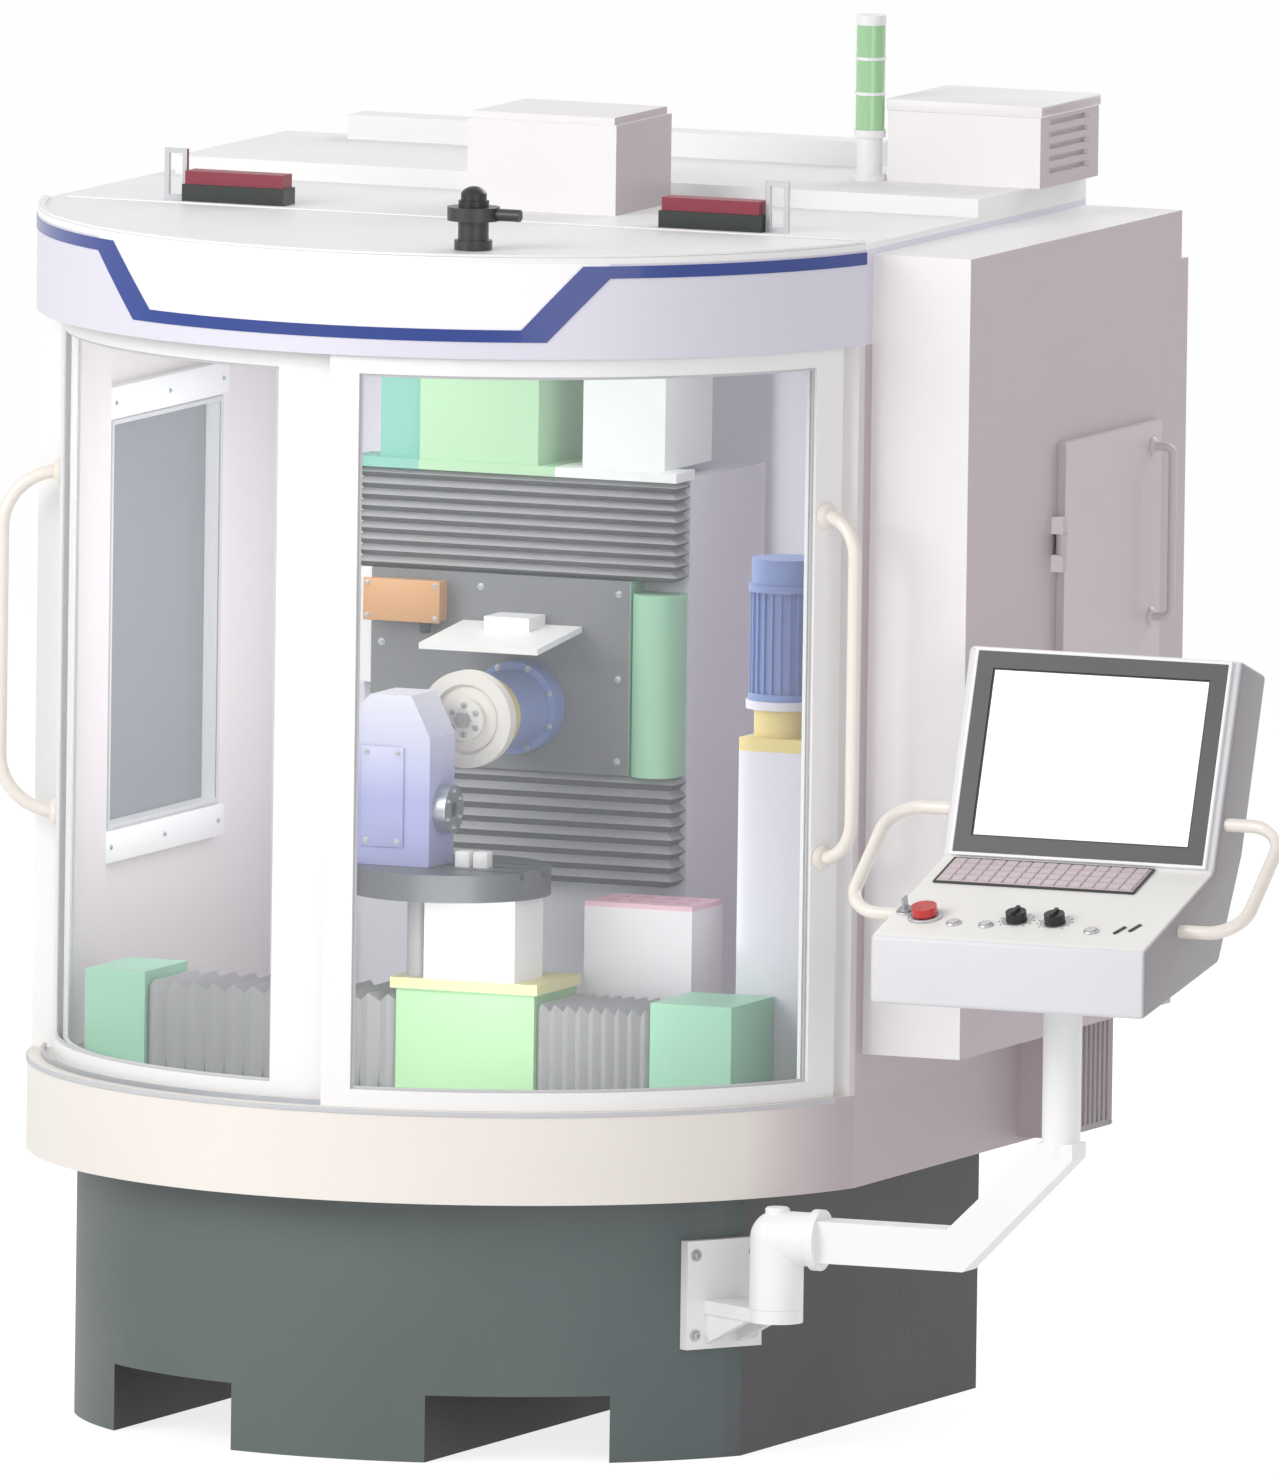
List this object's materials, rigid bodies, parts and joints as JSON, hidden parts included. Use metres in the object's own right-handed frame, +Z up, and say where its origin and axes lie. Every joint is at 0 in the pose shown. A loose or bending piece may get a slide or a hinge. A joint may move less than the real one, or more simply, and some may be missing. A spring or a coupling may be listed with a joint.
{
  "type": "cnc tool grinder",
  "caption": "Enclosed tool grinder with a rounded glazed front, curved sliding doors, a side cabinet and an operator console on a swing arm.",
  "frame": {"origin": "on the floor, on the vertical axis of the rounded front", "axes": "+X to the machine's right as seen from the front, +Y to the rear, +Z up"},
  "size_m": [2.3161, 1.5514, 2.282],
  "materials": {
    "base_paint": "satin",
    "skirt_paint": "satin",
    "white_paint": "satin",
    "side_paint": "satin",
    "fascia_paint": "satin",
    "stripe_paint": "gloss",
    "door_glass": "clear",
    "window_glass": "tinted",
    "handle_paint": "satin",
    "guide_steel": "brushed",
    "vent_plastic": "matte",
    "drive_plastic": "matte",
    "lens_green": "gloss",
    "switch_plastic": "matte",
    "regulator_plastic": "matte",
    "knob_plastic": "matte",
    "bed_paint": "satin",
    "cover_rubber": "matte",
    "table_iron": "machined",
    "workhead_paint": "satin",
    "spindle_steel": "ground",
    "column_paint": "satin",
    "head_paint": "satin",
    "motor_paint": "satin",
    "wheel_abrasive": "rough",
    "console_paint": "satin",
    "bezel_plastic": "matte",
    "screen_plastic": "gloss",
    "key_plastic": "matte",
    "stop_red": "gloss",
    "button_plastic": "matte"
  },
  "bodies": {
    "machine": {"bed_casting": "base_paint", "drip_tray": "skirt_paint", "door_rails": "guide_steel", "left_wall": "white_paint", "left_window": "window_glass", "right_wall": "side_paint", "back_wall": "side_paint", "header_band": "fascia_paint", "blue_stripe": "stripe_paint", "roof_panel": "white_paint", "cabinet_body": "side_paint", "drive_rack": "drive_plastic", "side_vent": "vent_plastic", "motor_cover": "white_paint", "mist_collector": "white_paint", "signal_post": "white_paint", "signal_lens": "lens_green", "interlock_switches": "switch_plastic", "regulator_body": "regulator_plastic", "x_bed": "bed_paint", "x_bellows_left": "cover_rubber", "x_bellows_right": "cover_rubber", "z_column": "column_paint", "z_drive": "bed_paint", "z_bellows_upper": "cover_rubber", "z_bellows_lower": "cover_rubber", "pump_column": "column_paint", "pump_motor": "motor_paint", "tool_rack": "white_paint", "arm_bracket": "white_paint"},
    "left_door": {"left_door_frame": "white_paint", "left_door_glass": "door_glass", "left_door_handle": "handle_paint"},
    "right_door": {"right_door_frame": "white_paint", "right_door_glass": "door_glass", "right_door_handle": "handle_paint"},
    "cabinet_leaf": {"cabinet_door": "side_paint"},
    "regulator_dial": {"regulator_knob": "knob_plastic"},
    "carriage": {"x_saddle": "bed_paint", "table_pedestal": "white_paint"},
    "table": {"rotary_table": "table_iron", "workhead": "workhead_paint"},
    "work_nose": {"work_spindle": "spindle_steel"},
    "wheel_head": {"head_plate": "head_paint", "spindle_housing": "motor_paint", "wheel_guard": "white_paint"},
    "wheel": {"grinding_wheel": "wheel_abrasive"},
    "arm": {"swing_arm": "white_paint"},
    "pendant": {"pendant_housing": "console_paint", "screen_bezel": "bezel_plastic", "screen_panel": "screen_plastic", "keyboard": "key_plastic", "pendant_handles": "handle_paint"},
    "stop_head": {"estop_button": "stop_red"},
    "feed_dial": {"feed_knob": "knob_plastic"},
    "speed_dial": {"speed_knob": "knob_plastic"},
    "key": {"key_switch": "spindle_steel"},
    "start": {"start_button": "button_plastic"},
    "stop": {"stop_button": "button_plastic"},
    "reset": {"reset_button": "button_plastic"}
  },
  "joints": [
    {"name": "left_door_slide", "type": "hinge", "parent": "machine", "child": "left_door", "pos_m": [0, 0, 0.6], "axis": [0, 0, 1], "range_deg": [0, 60]},
    {"name": "right_door_slide", "type": "hinge", "parent": "machine", "child": "right_door", "pos_m": [0, 0, 0.6], "axis": [0, 0, 1], "range_deg": [-60, 0]},
    {"name": "cabinet_door_hinge", "type": "hinge", "parent": "machine", "child": "cabinet_leaf", "pos_m": [0.9133, 0.228, 1.2], "axis": [0, 0, 1], "range_deg": [-100, 0]},
    {"name": "regulator_turn", "type": "hinge", "parent": "machine", "child": "regulator_dial", "pos_m": [0.20554, -0.59023, 2.06], "axis": [0, 0, 1], "range_deg": [0, 270]},
    {"name": "x_travel", "type": "slide", "parent": "machine", "child": "carriage", "axis": [1, 0, 0], "range_m": [-0.25, 0.08], "deforming": ["x_bellows_left", "x_bellows_right"]},
    {"name": "table_swivel", "type": "hinge", "parent": "carriage", "child": "table", "pos_m": [0.032, -0.235, 0.9], "axis": [0, 0, 1], "range_deg": [-15, 45]},
    {"name": "work_spin", "type": "hinge", "parent": "table", "child": "work_nose", "pos_m": [0.019, -0.2445, 1.0223], "axis": [1, 0, 0], "continuous": true},
    {"name": "z_travel", "type": "slide", "parent": "machine", "child": "wheel_head", "axis": [0, 0, 1], "range_m": [-0.06, 0.08], "deforming": ["z_bellows_upper", "z_bellows_lower"]},
    {"name": "wheel_spin", "type": "hinge", "parent": "wheel_head", "child": "wheel", "pos_m": [0.015, -0.12, 1.158], "axis": [0, -1, 0], "continuous": true},
    {"name": "arm_swivel", "type": "hinge", "parent": "machine", "child": "arm", "pos_m": [0.70049, -0.43771, 0.3], "axis": [0, 0, 1], "range_deg": [-60, 5]},
    {"name": "pendant_swivel", "type": "hinge", "parent": "arm", "child": "pendant", "pos_m": [1.19549, -0.43771, 0.81], "axis": [0, 0, 1], "range_deg": [-30, 30]},
    {"name": "estop_press", "type": "slide", "parent": "pendant", "child": "stop_head", "axis": [0, 0.3077, -0.9515], "range_m": [0, 0.004], "stiffness_N_per_m": 1500, "springref_m": -0.002},
    {"name": "feed_turn", "type": "hinge", "parent": "pendant", "child": "feed_dial", "pos_m": [1.17749, -0.59898, 0.94007], "axis": [0, -0.3077, 0.9515], "range_deg": [-135, 135]},
    {"name": "speed_turn", "type": "hinge", "parent": "pendant", "child": "speed_dial", "pos_m": [1.24449, -0.59898, 0.94007], "axis": [0, -0.3077, 0.9515], "range_deg": [-135, 135]},
    {"name": "key_turn", "type": "hinge", "parent": "pendant", "child": "key", "pos_m": [0.98049, -0.59137, 0.94254], "axis": [0, -0.3077, 0.9515], "range_deg": [0, 90]},
    {"name": "start_press", "type": "slide", "parent": "pendant", "child": "start", "axis": [0, 0.3077, -0.9515], "range_m": [0, 0.003], "stiffness_N_per_m": 800, "springref_m": -0.002},
    {"name": "stop_press", "type": "slide", "parent": "pendant", "child": "stop", "axis": [0, 0.3077, -0.9515], "range_m": [0, 0.003], "stiffness_N_per_m": 800, "springref_m": -0.002},
    {"name": "reset_press", "type": "slide", "parent": "pendant", "child": "reset", "axis": [0, 0.3077, -0.9515], "range_m": [0, 0.003], "stiffness_N_per_m": 800, "springref_m": -0.002}
  ]
}
